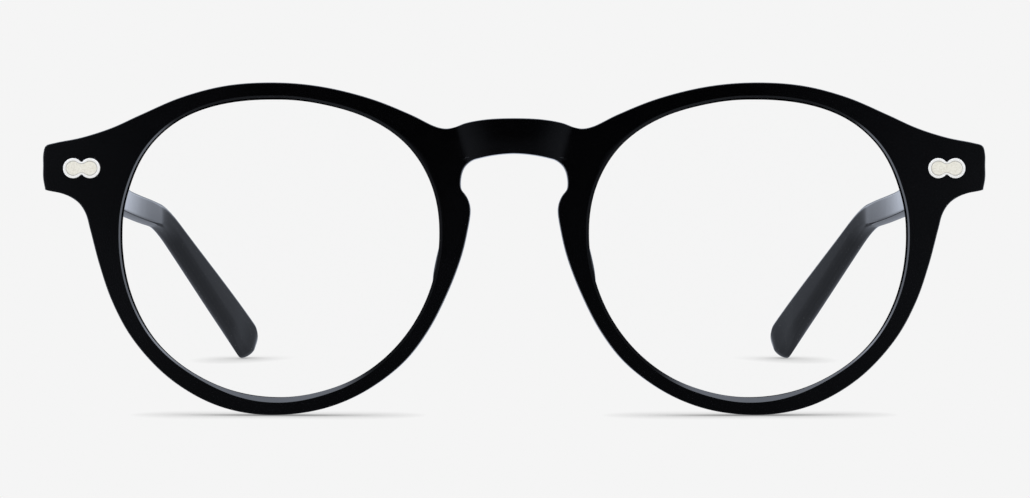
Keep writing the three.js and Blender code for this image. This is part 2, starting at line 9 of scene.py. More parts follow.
import bmesh
import bpy
import numpy as np
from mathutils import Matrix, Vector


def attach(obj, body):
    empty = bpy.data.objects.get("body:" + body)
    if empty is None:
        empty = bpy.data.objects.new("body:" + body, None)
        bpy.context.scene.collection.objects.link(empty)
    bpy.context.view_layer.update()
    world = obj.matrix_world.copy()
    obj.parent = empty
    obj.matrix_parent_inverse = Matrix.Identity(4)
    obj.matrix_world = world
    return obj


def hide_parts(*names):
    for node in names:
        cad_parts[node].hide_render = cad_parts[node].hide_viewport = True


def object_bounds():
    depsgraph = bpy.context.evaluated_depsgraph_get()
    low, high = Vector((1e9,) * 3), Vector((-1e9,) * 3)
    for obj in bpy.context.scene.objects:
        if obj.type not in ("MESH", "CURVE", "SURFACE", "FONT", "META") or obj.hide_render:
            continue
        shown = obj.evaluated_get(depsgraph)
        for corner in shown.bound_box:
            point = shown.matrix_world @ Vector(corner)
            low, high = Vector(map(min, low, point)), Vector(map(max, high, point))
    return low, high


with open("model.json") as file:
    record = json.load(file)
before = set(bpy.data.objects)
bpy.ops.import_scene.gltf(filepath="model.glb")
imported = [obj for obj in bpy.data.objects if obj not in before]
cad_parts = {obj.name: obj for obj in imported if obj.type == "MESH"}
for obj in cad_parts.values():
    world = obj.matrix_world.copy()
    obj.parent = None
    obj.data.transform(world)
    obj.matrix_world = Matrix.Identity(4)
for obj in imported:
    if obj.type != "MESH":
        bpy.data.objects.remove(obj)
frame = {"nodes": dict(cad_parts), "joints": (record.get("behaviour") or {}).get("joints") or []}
solid_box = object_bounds()
MM = 0.001
TURN = 2 * math.pi

# Lenses and their openings. A fullness is the superellipse's power on the temple's side and on the nose's.
LENS_WIDTH = 48
LENS_RISE = 20.13
LENS_DROP = 24.43
BRIDGE_GAP = 20.9
LENS_EDGE = 1.6
LENS_EDGE_TIP = 0.5
LENS_CROWN = 1.8
BEVEL_HEIGHT = 0.5
FULLNESS_UPPER = (2.44, 2.2)
FULLNESS_LOWER = (2.12, 2.02)

# The front
FRONT_THICKNESS = 4
RIM_WIDTH = 2.6
BRIDGE_HEIGHT = 5.13
END_REACH = 8.74
END_HEIGHT = 6.9
END_RISE = 9.86
WRAP_RADIUS = 800
BRIDGE_ARCH = 0.68
BRIDGE_CREASE = 8.8
CREASE_SLANT = 0.29
BRIDGE_BELLY = 0.08
BRIDGE_DIP = 5.39
EDGE_ROUND = 0.12
BACK_ROUND = 0.4
OPENING_BACK_ROUND = 0.8

# How finely the front is drawn: points between two given ones, their distance along the edge, and rows of faces
# on its front and back
RUN_STEPS = 16
EDGE_STEP = 0.4
FRONT_ROWS, BACK_ROWS = 24, 10

# The lens groove: its depth, and half its width at the floor and at the mouth
GROOVE_DEPTH = 0.6
GROOVE_FLOOR = 0.5
GROOVE_MOUTH = 0.95

# The bevel round an opening at its temple side, top, nose side and bottom: width, depth, the sawn taper behind it,
# and how far it stands inside the wall behind the lens. The powers say how soon the top's and the bottom's give
# way to the sides'.
LIP_WIDTH = (0.22, 0.46, 0.45, 0.72)
LIP_DEPTH = (0.22, 0.3, 0.09, 0.6)
LIP_TAPER = (0, 0.16, 0, 0)
LIP_IN = (0.2, 0, 0, 0)
LIP_TOP_POWER = 6
LIP_BOTTOM_POWER = 14

# Nose pads: how far they stand back, half their width, how far their middle lies inside the rim's edge, how deep
# they are bonded in, their flare, the power of their swell, and the rim heights between which they run
PAD_DEPTH = 4.2
PAD_HALF = 1.25
PAD_INSET = 1.65
PAD_SINK = 0.05
PAD_FLARE = math.tan(math.radians(24))
PAD_SWELL = 0.62
PAD_LOW, PAD_HIGH = -0.4, 0.25

# Plaques
PLAQUE_INSET = 5.78
PLAQUE_LOBE = 2.94
PLAQUE_WAIST = 1.84
PLAQUE_PITCH = 2.52
FIELD_LOBE = 2.19
FIELD_WAIST = 1.36
LEG_PITCH = 2.4
FIELD_DEPTH = 0.1
PLAQUE_PROUD = 0.25
PLAQUE_EDGE = 0.07
PLAQUE_SINK = 0.45
LEG_RADIUS = 0.55

# Hinges
HINGE_DROP = 0.24
HINGE_HEIGHT = 4.8
KNUCKLE_RADIUS = 1.25
KNUCKLE_GAP = 0.2
LEAF_THICKNESS = 0.8
LEAF_SINK = 0.4
SETBACK = 0.8
STAND_IN = 0.8
LEAF_LENGTH = 10.5
LEAF_FLUSH = 0.15
LEAF_MARGIN = 1.35
RIVET_PLACES = (4.2, 7.8)
RIVET_RADIUS = 1.05
PEEN_RADIUS = 0.75

# Temples
TEMPLE_LENGTH = 145
TEMPLE_THICKNESS = 3.4
TIP_THICKNESS = 3.35
TEMPLE_HEIGHT = 6.4
TEMPLE_WAIST = 3.88
WAIST_START = 58
TIP_HEIGHT = 6.85
BEND_START = 85
BEND = math.radians(22.9)
BEND_RADIUS = 33
TOE_IN = math.radians(3.7)
TILT = math.radians(2.7)
TUCK = math.tan(math.radians(10.2))
TUCK_START = 84
SHANK_BOW = 0.7
BOW_MIDDLE = 61
BOW_HALF = 36
TIP_ROUND = 4

# The tip is drawn in nearly to a point: how near, and the least height and thickness of its rings
TIP_CLOSE = 0.998
LEAST_HEIGHT, LEAST_WIDTH = 0.25, 0.3

# The section's corner radius at the hinge, along the shank and past the bend, and where the change to the
# second ends and the change to the third starts
TEMPLE_CORNER = 1.1
SHANK_CORNER = 0.5
TAIL_CORNER = 1.35
SHANK_FROM, SHANK_TO = 43, 73

# The tip's inner side falls back below: over which height, over which distances from the end, and by which shares
# of the thickness, outwards and upwards
SCOOP_HEIGHT = 4.7
SCOOP_START, SCOOP_FULL = 16, 4
SCOOP_OUT, SCOOP_UP = 0.65, 0.08

# The pocket for the hinge leaf: its play, and the part of each inner corner that it cuts off. The seam is the gap
# between the front and a temple's end, and the end's edge is eased by insets at depths.
POCKET_SLACK = 0.15
POCKET_BITE = math.asin(0.41)
SEAM = 0.3
END_EASE = ((0.18, 0), (0.05, 0.05), (0, 0.18))

OPENING_HALF = LENS_WIDTH / 2 - BEVEL_HEIGHT
OPENING_RISE = LENS_RISE - BEVEL_HEIGHT
OPENING_DROP = LENS_DROP - BEVEL_HEIGHT
LENS_X = BRIDGE_GAP / 2 + LENS_WIDTH / 2
LENS_Z = OPENING_DROP + RIM_WIDTH
RIM_HALF = OPENING_HALF + RIM_WIDTH
RIM_RISE = OPENING_RISE + RIM_WIDTH
RIM_DROP = OPENING_DROP + RIM_WIDTH
BRIDGE_TOP = LENS_Z + RIM_RISE - BRIDGE_DIP
END_Z = LENS_Z + END_RISE
END_X = LENS_X + RIM_HALF + END_REACH
HINGE_X = END_X - SETBACK - TEMPLE_THICKNESS - STAND_IN
HINGE_Y = FRONT_THICKNESS - LEAF_SINK + LEAF_THICKNESS + KNUCKLE_GAP + KNUCKLE_RADIUS
HINGE_Z = END_Z - HINGE_DROP
PLAQUE_X = END_X - PLAQUE_INSET
BEND_END = BEND_START + BEND_RADIUS * BEND
KNUCKLE = (HINGE_HEIGHT - 4 * KNUCKLE_GAP) / 5
LEAF_FACE = KNUCKLE_RADIUS + KNUCKLE_GAP
LEAF_STEP = KNUCKLE_RADIUS + 2 * KNUCKLE_GAP

# The outline in shares, as in the solids: rim shares from the lens centre, end piece shares of its reach and
# half height, bridge shares of half the gap between the lenses and of its height.
BROW = [(-0.88, 0.704), (-0.739, 0.784), (-0.516, 0.888), (-0.235, 0.969), (0.029, 0.9954), (0.3, 0.975),
        (0.552, 0.899), (0.779, 0.786), (0.949, 0.697)]
END = [(0.354, 1.234), (0.803, 1.011), (0.953, 0.887), (0.995, 0.543), (0.997, 0.05), (0.997, -0.475),
       (0.96, -0.995)]
END_UNDER = [(0.863, -1.048), (0.699, -1.13), (0.534, -1.292), (0.382, -1.571)]
RIM_TEMPLE = [(1.091, 0.132), (1.066, 0.028), (1.012, -0.175), (0.941, -0.374), (0.829, -0.575),
              (0.644, -0.776), (0.437, -0.91), (0.246, -0.977), (0.026, -1)]
RIM_NOSE = [(-0.238, -0.968), (-0.464, -0.88), (-0.689, -0.72), (-0.828, -0.549), (-0.941, -0.337),
            (-1.023, -0.127), (-1.06, 0.03), (-1.074, 0.136), (-1.073, 0.176), (-1.065, 0.214),
            (-1.049, 0.252), (-1.023, 0.293), (-1.019, 0.336), (-1.022, 0.372), (-1.03, 0.411),
            (-1.047, 0.447)]
BRIDGE_UNDER = [(0.591, -1.196), (0.466, -1.12), (0.256, -1.039), (0, -1)]
BRIDGE_OVER = [(0, 0), (0.403, -0.035), (0.684, -0.137), (0.835, -0.252), (0.957, -0.291)]

# How far an opening lies outside its superellipse: degrees from the temple side, millimetres
OPENING_TRIM = [(-190, 0), (-150, 0.02), (-119, 0.04), (-106, -0.04), (-90, 0.05), (-74, 0), (-60, -0.05),
                (-40, 0.12), (-24, 0.09), (-9, 0.06), (2, 0.04), (18, -0.27), (40, -0.06), (57, 0.14), (74, 0.17),
                (90, 0.11), (106, -0.15), (121, -0.09), (141, 0.07), (160, 0.02), (190, 0)]

# Which angle of the opening a place of the outer edge looks at: millimetres from the middle, degrees. The first
# list runs outwards along the top, the second goes on down and back to the middle.
FACING = [(0, 147), (4.2, 144.5), (7.2, 142), (8.6, 139), (9.8, 135), (11.5, 131), (15, 126), (35, 88),
          (48.6, 56), (58.9, 38), (68.4, 28)]
FACING_DOWN = [(69.1, 22), (68.4, 17), (63.4, 9), (61.7, 2), (58.5, -23), (50.7, -52), (35, -90), (22.4, -122),
               (12.9, -148), (7.9, -176), (6.5, -187), (7.8, -199), (7.3, -203), (6.3, -205), (2.7, -207.5),
               (0, -209)]
FACING_REACH = 0.45


def stack(*columns):
    """Coordinates side by side: each column is an array or one number."""
    return np.stack(np.broadcast_arrays(*[np.asarray(c, float) for c in columns]), axis=-1)


def mix(low, high, share):
    """A straight step from low to high."""
    return low + (high - low) * share


def ease(value, low, high):
    """A smooth step: zero up to low, one from high, 3t squared less 2t cubed between."""
    t = np.clip((value - low) / (high - low), 0, 1)
    return t * t * (3 - 2 * t)


# Placing

left_hinge = next(j for j in frame["joints"] if j["child"] == "left_temple")
LEAN = math.atan2(left_hinge["axis"][1], left_hinge["axis"][2])


def wrap(points):
    """The flat sheet bent round a far upright line: x becomes an angle, depth shortens the radius, and the
    bridge stands forward by a parabola that starts at a crease on each side. The creases lean together
    downwards, and the parabola falls back a little towards the bridge's underside."""
    x, y, z = np.moveaxis(points, -1, 0)
    angle = x / WRAP_RADIUS
    down = np.clip(BRIDGE_TOP - z, 0, BRIDGE_CREASE / CREASE_SLANT / 2)
    belly = 1 - BRIDGE_BELLY * np.clip(2 * down / BRIDGE_HEIGHT - 1, 0, 1) ** 2
    arch = BRIDGE_ARCH * belly * np.maximum(1 - (x / (BRIDGE_CREASE - CREASE_SLANT * down)) ** 2, 0)
    radius = WRAP_RADIUS - y
    return stack(radius * np.sin(angle), WRAP_RADIUS - arch - radius * np.cos(angle), z)


def turn_z(points, angle):
    """Turned about the upright line through the origin."""
    x, y, z = np.moveaxis(points, -1, 0)
    return stack(x * math.cos(angle) - y * math.sin(angle), x * math.sin(angle) + y * math.cos(angle), z)


def turn_x(points, angle):
    """Tipped back about the line that runs left and right."""
    x, y, z = np.moveaxis(points, -1, 0)
    return stack(x, y * math.cos(angle) + z * math.sin(angle), z * math.cos(angle) - y * math.sin(angle))


HINGE_SEAT = wrap(np.array([HINGE_X, HINGE_Y, HINGE_Z], float))
PLAQUE_SEAT = wrap(np.array([PLAQUE_X, 0, HINGE_Z], float))
STAND = np.array(left_hinge["pos_m"]) / MM - turn_x(HINGE_SEAT, LEAN)


def stood(points):
    """The flat-standing glasses leant back onto the floor."""
    return turn_x(points, LEAN) + STAND


def seated(points, seat, turn, tilt=0):
    """A piece drawn about its own seat, sloped down, turned and carried there."""
    return stood(turn_z(turn_x(points, tilt), turn) + seat)


# Meshes

def quads(rows, columns, closed=False):
    """The faces of a grid of rows by columns; closed joins the last row to the first."""
    i = np.arange(rows if closed else rows - 1)[:, None]
    j = np.arange(columns - 1)[None, :]
    a = i * columns + j
    b = (i + 1) % rows * columns + j
    return np.stack([a, a + 1, b + 1, b], axis=-1).reshape(-1, 4)


def shell(points, closed=False):
    """A grid of points as a shell: its vertices and its faces."""
    return points.reshape(-1, 3), quads(points.shape[0], points.shape[1], closed)


def capped(points):
    """Rings of points, each row a ring, with a flat end across the first and the last."""
    looped = np.concatenate([points, points[:, :1]], axis=1)
    ends = [np.linspace(ring, np.broadcast_to(ring.mean(axis=0), ring.shape), 3)
            for ring in (looped[0], looped[-1])]
    return [shell(looped)] + [shell(end) for end in ends]


def make(name, shells, side, body, material, replaces, crease, field=None):
    """One piece from shells: mirrored for the right side, doubles merged, faces outwards, smooth but for edges
    sharper than the crease in degrees. The field is a number at each point that the material reads."""
    points, faces, start = [], [], 0
    for vertices, grid in shells:
        points.append(vertices)
        faces.append(grid + start)
        start += len(vertices)
    points = np.concatenate(points) * MM
    points[:, 0] *= side
    mesh = bpy.data.meshes.new(name)
    mesh.from_pydata(points.tolist(), [], np.concatenate(faces).tolist())
    if field is not None:
        mesh.attributes.new("field", "FLOAT", "POINT").data.foreach_set("value", field.astype(np.float32))
    work = bmesh.new()
    work.from_mesh(mesh)
    bmesh.ops.remove_doubles(work, verts=work.verts, dist=2e-6)
    bmesh.ops.dissolve_degenerate(work, edges=work.edges, dist=1e-7)
    bmesh.ops.recalc_face_normals(work, faces=work.faces)
    work.to_mesh(mesh)
    work.free()
    mesh.shade_smooth()
    mesh.set_sharp_from_angle(angle=math.radians(crease))
    mesh.materials.append(material)
    thing = bpy.data.objects.new(name, mesh)
    bpy.context.scene.collection.objects.link(thing)
    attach(thing, body)
    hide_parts(*replaces)


# Materials

class Value:
    """A socket's value. Sums and products with numbers or other values add Math nodes."""

    def __init__(self, shade, socket):
        self.shade = shade
        self.socket = socket

    def _math(self, operation, first, second):
        node = self.shade.add("ShaderNodeMath", {"operation": operation}, {0: first, 1: second})
        return Value(self.shade, node.outputs[0])

    def __add__(self, other):
        return self._math("ADD", self, other)

    __radd__ = __add__

    def __mul__(self, other):
        return self._math("MULTIPLY", self, other)

    __rmul__ = __mul__

    def __sub__(self, other):
        return self._math("SUBTRACT", self, other)

    def __rsub__(self, other):
        return self._math("SUBTRACT", other, self)

    def clamped(self, low, high, kind="SMOOTHSTEP"):
        """Zero up to low, one from high, smooth or straight between."""
        node = self.shade.add("ShaderNodeMapRange", {"interpolation_type": kind},
                              {"Value": self, "From Min": low, "From Max": high})
        return Value(self.shade, node.outputs[0])


class Shade:
    """A node tree that is built node by node."""

    def __init__(self, tree):
        self.tree = tree
        tree.nodes.clear()

    def add(self, kind, settings=None, inputs=None):
        """A node of a kind: its settings first, then a value or a link for each named or numbered socket."""
        node = self.tree.nodes.new(kind)
        for key, value in (settings or {}).items():
            setattr(node, key, value)
        for key, value in (inputs or {}).items():
            if isinstance(value, Value):
                self.tree.links.new(value.socket, node.inputs[key])
            elif isinstance(value, bpy.types.NodeSocket):
                self.tree.links.new(value, node.inputs[key])
            else:
                node.inputs[key].default_value = value
        return node

    def place(self):
        """The Object coordinates, in metres."""
        return self.add("ShaderNodeTexCoord").outputs["Object"]

    def noise(self, scale, detail, stretch=(1, 1, 1)):
        """Noise over the object, in features per metre, drawn out along the axes whose stretch is under 1."""
        mapping = self.add("ShaderNodeMapping", {}, {"Vector": self.place(), "Scale": stretch})
        node = self.add("ShaderNodeTexNoise", {}, {"Vector": mapping.outputs[0], "Scale": scale, "Detail": detail})
        return Value(self, node.outputs[0])

    def blend(self, share, first, second):
        """A colour between two colours."""
        node = self.add("ShaderNodeMix", {"data_type": "RGBA"}, {0: share})
        for key, colour in ((6, first), (7, second)):
            if isinstance(colour, Value):
                self.tree.links.new(colour.socket, node.inputs[key])
            else:
                node.inputs[key].default_value = (*colour, 1)
        return Value(self, node.outputs[2])

    def bump(self, height, depth, strength, under=None):
        """A bumped normal: a height from 0 to 1 over a depth in metres, on top of the normal under it."""
        inputs = {"Height": height, "Distance": depth, "Strength": strength}
        if under:
            inputs["Normal"] = under
        return self.add("ShaderNodeBump", {}, inputs).outputs[0]

    def finish(self, shader, kind="ShaderNodeOutputMaterial"):
        """The shader goes to the output."""
        self.add(kind, {}, {"Surface": shader})


def material(name):
    """An empty material and the tree to fill."""
    made = bpy.data.materials.new(name)
    made.use_nodes = True
    return made, Shade(made.node_tree)


def polished_acetate(name, grain):
    """Black acetate: a deep colour with a faint cloud in it, buffed to a gloss that wavers a little, with
    hairline polishing marks along one direction. Where the piece's field attribute is 1 it is sawn and matte."""
    made, shade = material(name)
    cloud = shade.noise(60, 3)
    buff = shade.noise(420, 2)
    hairs = shade.noise(1800, 2, grain)
    colour = shade.blend(cloud.clamped(0.35, 0.7), (0.0006, 0.0006, 0.0008), (0.0013, 0.0013, 0.0017))
    normal = shade.bump(shade.noise(160, 1), 0.00002, 0.35)
    normal = shade.bump(hairs, 0.0000015, 0.5, normal)
    roughness = 0.045 + 0.05 * buff + 0.03 * hairs
    polished = shade.add("ShaderNodeBsdfPrincipled", {}, {
        "Base Color": colour, "Roughness": roughness, "IOR": 1.49, "Normal": normal})
    sawn = shade.add("ShaderNodeBsdfPrincipled", {}, {
        "Base Color": colour, "Roughness": 0.7 + 0.1 * buff, "Specular IOR Level": 0, "Normal": normal})
    unpolished = Value(shade, shade.add("ShaderNodeAttribute", {"attribute_name": "field"}).outputs["Fac"])
    both = shade.add("ShaderNodeMixShader", {}, {0: unpolished, 1: polished.outputs[0], 2: sawn.outputs[0]})
    shade.finish(both.outputs[0])
    return made


# How much of a lens is gloss, seen along its face and seen square on
OBLIQUE_GLOSS = 0.03
SQUARE_GLOSS = 0.001


def clear_lens(name):
    """A thin clear lens: it lets everything through but what its polished faces send back, which grows with
    the fourth power of how far it is turned away, and it has a trace of haze."""
    made, shade = material(name)
    film = shade.noise(90, 2)
    facing = Value(shade, shade.add("ShaderNodeLayerWeight", {}, {"Blend": 0.5}).outputs["Facing"])
    facing = facing * facing
    clear = shade.add("ShaderNodeBsdfTransparent", {}, {"Color": (0.999, 0.9995, 0.9995, 1)})
    gloss = shade.add("ShaderNodeBsdfPrincipled", {}, {
        "Base Color": shade.blend(film, (0.86, 0.9, 0.93), (0.9, 0.92, 0.94)), "Roughness": 0.02 + 0.02 * film,
        "IOR": 1.5})
    share = facing * facing * OBLIQUE_GLOSS + SQUARE_GLOSS * film
    both = shade.add("ShaderNodeMixShader", {}, {0: share, 1: clear.outputs[0], 2: gloss.outputs[0]})
    shade.finish(both.outputs[0])
    return made


def plaque_metal(name):
    """A plaque: a bright polished lip round an ivory field of fine speckle, with a grey line of painted shade
    between them.
    """
    made, shade = material(name)
    zone = Value(shade, shade.add("ShaderNodeAttribute", {"attribute_name": "field"}).outputs["Fac"])
    speckle = shade.noise(5200, 3)
    patches = shade.noise(1400, 2)
    ivory = shade.blend(speckle.clamped(0.36, 0.66), (0.72, 0.69, 0.6), (0.88, 0.865, 0.79))
    ivory = shade.blend(patches.clamped(0.4, 0.7), ivory, (0.83, 0.81, 0.72))
    inside = zone.clamped(0.5, 0.95)
    # The grey line is painted shade: a darker colour on the sunk step between the lip and the field.
    line = zone.clamped(0.05, 0.4)
    colour = shade.blend(inside, shade.blend(line, (0.98, 0.98, 0.97), (0.55, 0.54, 0.5)), ivory)
    normal = shade.bump(speckle, 0.00004, 0.5)
    shader = shade.add("ShaderNodeBsdfPrincipled", {}, {
        "Base Color": colour, "Metallic": 0.1 * (1 - inside), "Roughness": 0.22 + 0.33 * inside + 0.05 * speckle,
        "Normal": normal, "IOR": 1.6})
    shade.finish(shader.outputs[0])
    return made


def hinge_metal(name, colour, stretch):
    """Nickel silver: a pale metal drawn with fine lines, a little duller in patches."""
    made, shade = material(name)
    lines = shade.noise(3000, 3, stretch)
    wear = shade.noise(500, 2)
    dark = tuple(0.8 * c for c in colour)
    tint = shade.blend(wear.clamped(0.35, 0.75), colour, dark)
    shader = shade.add("ShaderNodeBsdfPrincipled", {}, {
        "Base Color": tint, "Metallic": 1, "Roughness": 0.2 + 0.12 * lines + 0.1 * wear,
        "Normal": shade.bump(lines, 0.000004, 0.5)})
    shade.finish(shader.outputs[0])
    return made


acetate_front = polished_acetate("front_acetate", (0.2, 1, 1))
acetate_temple = polished_acetate("temple_acetate", (1, 0.15, 1))
lens_clear = clear_lens("lens_plastic")
plaque_ivory = plaque_metal("plaque_metal")
leaf_metal = hinge_metal("leaf_metal", (0.66, 0.65, 0.62), (1, 1, 0.15))
screw_metal = hinge_metal("screw_metal", (0.6, 0.6, 0.6), (0.2, 1, 1))
rivet_metal = hinge_metal("rivet_metal", (0.7, 0.69, 0.66), (1, 0.2, 1))
wire_metal = hinge_metal("core_metal", (0.5, 0.5, 0.5), (1, 0.1, 1))


# The front

def smooth_run(points):
    """A centripetal Catmull-Rom curve through the points: between two points a cubic whose end slopes come
    from the neighbours, with knots spaced by the square root of the distance."""
    points = np.asarray(points, float)
    whole = np.vstack([2 * points[0] - points[1], points, 2 * points[-1] - points[-2]])
    p0, p1, p2, p3 = whole[:-3], whole[1:-2], whole[2:-1], whole[3:]

    def gap(a, b):
        """The square root of the distance."""
        return np.sqrt(np.linalg.norm(b - a, axis=1, keepdims=True))

    d0, d1, d2 = gap(p0, p1), gap(p1, p2), gap(p2, p3)
    m1 = ((p1 - p0) / d0 - (p2 - p0) / (d0 + d1) + (p2 - p1) / d1) * d1
    m2 = ((p2 - p1) / d1 - (p3 - p1) / (d1 + d2) + (p3 - p2) / d2) * d1
    t = np.linspace(0, 1, RUN_STEPS, endpoint=False)[None, :, None]
    p1, p2, m1, m2 = (v[:, None, :] for v in (p1, p2, m1, m2))
    curve = (2 * t**3 - 3 * t**2 + 1) * p1 + (t**3 - 2 * t**2 + t) * m1
    curve = curve + (3 * t**2 - 2 * t**3) * p2 + (t**3 - t**2) * m2
    return np.vstack([curve.reshape(-1, points.shape[1]), points[-1:]])


def spaced(points, step):
    """The same line with points at even distances."""
    along = np.concatenate([[0], np.cumsum(np.linalg.norm(np.diff(points, axis=0), axis=1))])
    even = np.linspace(0, along[-1], int(round(along[-1] / step)) + 1)
    return stack(*[np.interp(even, along, points[:, k]) for k in range(points.shape[1])])


def rim_points(shares):
    """Shares of the rim's half width, and of its rise or drop, from the lens centre."""
    u, v = np.array(shares).T
    return stack(LENS_X + u * RIM_HALF, LENS_Z + v * np.where(v > 0, RIM_RISE, RIM_DROP))


def end_points(shares):
    """Shares of the end piece's reach past the rim, and of its half height, from its middle line."""
    u, v = np.array(shares).T
    return stack(LENS_X + RIM_HALF + u * END_REACH, END_Z + v * END_HEIGHT / 2)


def bridge_points(shares):
    """Shares of half the gap between the lenses, and of the bridge's height, from the middle of its top."""
    u, v = np.array(shares).T
    return stack(u * BRIDGE_GAP / 2, BRIDGE_TOP + v * BRIDGE_HEIGHT)


def half_outline(step):
    """The front's outer edge from the middle of the bridge's top, over the brow, round the end piece, under
    the rim and up the nose to the middle of the bridge's underside."""
    flip = np.array([-1, 1])
    over = np.vstack([bridge_points(BRIDGE_OVER), rim_points(BROW), end_points(END)])
    under = np.vstack([end_points(END[-1:]), end_points(END_UNDER), rim_points(RIM_TEMPLE),
                       rim_points(RIM_NOSE), bridge_points(BRIDGE_UNDER)])
    over = smooth_run(np.vstack([over[:0:-1] * flip, over]))
    under = smooth_run(np.vstack([under, under[-2::-1] * flip]))
    line = np.vstack([over[len(over) // 2:], under[1:len(under) // 2 + 1]])
    return spaced(line, step)


def lens_edge(angle, offset, share=1):
    """A superellipse in four quarters, grown by an offset and a small trim and shrunk to a share about the lens
    centre: each half width or height times the cosine or sine to the power of two over the quarter's fullness."""
    c, s = np.cos(angle), np.sin(angle)
    upper = np.where(c > 0, *FULLNESS_UPPER)
    lower = np.where(c > 0, *FULLNESS_LOWER)
    power = 2 / np.where(s > 0, upper, lower)
    turned = (np.degrees(angle) + 180) % 360 - 180
    offset = offset + np.interp(turned, *smooth_run(OPENING_TRIM).T)
    height = np.where(s > 0, OPENING_RISE, OPENING_DROP) + offset
    x = np.sign(c) * np.abs(c) ** power * (OPENING_HALF + offset) * share
    z = np.sign(s) * np.abs(s) ** power * height * share
    return LENS_X + x, LENS_Z + z


def facing_angles(edge):
    """For each point of the outer edge an angle of the opening: read off in a straight line between known
    places, and smoothed by a raised cosine over neighbouring points."""
    top = edge[: np.argmax(edge[:, 0]) + 1]
    marks, angles = [], []
    for x, angle in FACING:
        marks.append(int(np.argmin(np.abs(top[:, 0] - x))))
        angles.append(angle)
    at = marks[-1]
    for x, angle in FACING_DOWN:
        after = edge[at + 1:, 0]
        crossing = np.nonzero(np.abs(after - x) < FACING_REACH)[0]
        at = at + 1 + int(crossing[0])
        marks.append(at)
        angles.append(angle)
    marks[-1] = len(edge) - 1
    known = np.interp(np.arange(len(edge)), marks, angles)
    pad = 12
    longer = np.concatenate([2 * known[0] - known[pad:0:-1], known, 2 * known[-1] - known[-2:-pad - 2:-1]])
    kernel = np.hanning(2 * pad + 1)
    return np.convolve(longer, kernel / kernel.sum(), "valid")


def front_half():
    """Half of the front as two bands that share edges, and which points are sawn. The inner band is closed
    round the opening: the front face, whose points lie straight between the outer edge and the lip, the
    opening's wall with its bevel, lens groove and rounded back, and the back face. The outer band is the outer
    edge, a quarter circle towards each face. The bevel's sizes go from the temple side's to the nose side's
    with the cosine, and to the top's and the bottom's with powers of the sine."""
    edge = half_outline(EDGE_STEP)
    slope = np.gradient(edge, axis=0)
    slope /= np.linalg.norm(slope, axis=1, keepdims=True)
    out = stack(-slope[:, 1], slope[:, 0])
    out[[0, -1]] = [[0, 1], [0, -1]]
    edge[[0, -1], 0] = 0
    angle = facing_angles(edge)
    middle = np.linspace(0, 1, 12)[1:-1, None]
    quarter = np.linspace(0, math.pi / 2, 8)

    def outer_face(round_):
        """The outer edge drawn in by its rounding, and down the middle of the bridge."""
        inset = edge - round_ * out
        return np.vstack([inset, mix(inset[-1], inset[0], middle)])

    angle = np.concatenate([angle, mix(angle[-1], angle[0] - 360, middle[:, 0])])
    angle = np.radians(angle)
    above = np.maximum(np.sin(angle), 0) ** LIP_TOP_POWER
    below = np.maximum(-np.sin(angle), 0) ** LIP_BOTTOM_POWER
    towards_nose = ease(-np.cos(angle), -0.4, 0.4)
    lip_width, lip_depth, taper, lip_in = (
        mix(mix(mix(temple, nose, towards_nose), top, above), bottom, below)
        for temple, top, nose, bottom in (LIP_WIDTH, LIP_DEPTH, LIP_TAPER, LIP_IN))
    shares = (0, 0.06, 0.35, 0.65, 0.94, 1)
    wall = [(mix(lip_width, taper, share) - lip_in, lip_depth * share) for share in shares]
    sawn_from = len(wall)
    groove = FRONT_THICKNESS / 2
    wall += [(taper * 0.97 - lip_in, lip_depth + 0.02), (-lip_in, groove - GROOVE_MOUTH),
             (GROOVE_DEPTH, groove - GROOVE_FLOOR), (GROOVE_DEPTH, groove + GROOVE_FLOOR),
             (0, groove + GROOVE_MOUTH)]
    wall += [(OPENING_BACK_ROUND * (1 - math.cos(a)), FRONT_THICKNESS - OPENING_BACK_ROUND * (1 - math.sin(a)))
             for a in quarter]
    rows = []
    front, back = outer_face(EDGE_ROUND), outer_face(BACK_ROUND)
    for face, lip, depth, count in ((front, lip_width - lip_in, 0, FRONT_ROWS),
                                    (back, OPENING_BACK_ROUND, FRONT_THICKNESS, BACK_ROWS)):
        x, z = lens_edge(angle, lip)
        inner = stack(x, z)
        shares = np.linspace(1, 0, count + 1)[:-1, None, None]
        flat = mix(inner[None], face[None], shares)
        rows.append(stack(flat[..., 0], depth, flat[..., 1]))
    through = []
    for offset, depth in wall:
        x, z = lens_edge(angle, offset)
        through.append(stack(x, depth, z))
    band = np.concatenate([rows[0], np.array(through), rows[1][::-1]])
    rim = []
    for a in quarter:
        shift = edge - EDGE_ROUND * (1 - math.sin(a)) * out
        rim.append(stack(shift[:, 0], EDGE_ROUND * (1 - math.cos(a)), shift[:, 1]))
    for share in (0.25, 0.5, 0.75):
        rim.append(stack(edge[:, 0], mix(EDGE_ROUND, FRONT_THICKNESS - BACK_ROUND, share), edge[:, 1]))
    for a in quarter:
        shift = edge - BACK_ROUND * (1 - math.cos(a)) * out
        rim.append(stack(shift[:, 0], FRONT_THICKNESS - BACK_ROUND * (1 - math.sin(a)), shift[:, 1]))
    matte = np.zeros(len(band))
    matte[len(rows[0]) + sawn_from: len(rows[0]) + len(wall) - 2] = 1
    bands = [np.moveaxis(band, 0, 1), np.moveaxis(np.array(rim), 0, 1)]
    marks = np.concatenate([np.tile(matte, len(bands[0])), np.zeros(bands[1].shape[0] * bands[1].shape[1])])
    return [shell(stood(wrap(bands[0])), closed=True), shell(stood(wrap(bands[1])))], marks


def mirror_shells(shells):
    """The shells and their mirror images across the middle."""
    return shells + [(vertices * [-1, 1, 1], faces) for vertices, faces in shells]


shells, marks = front_half()
make("front_acetate_frame", mirror_shells(shells), 1, "frame_front", acetate_front, ["front"], 24,
     np.tile(marks, 2))


# The lenses

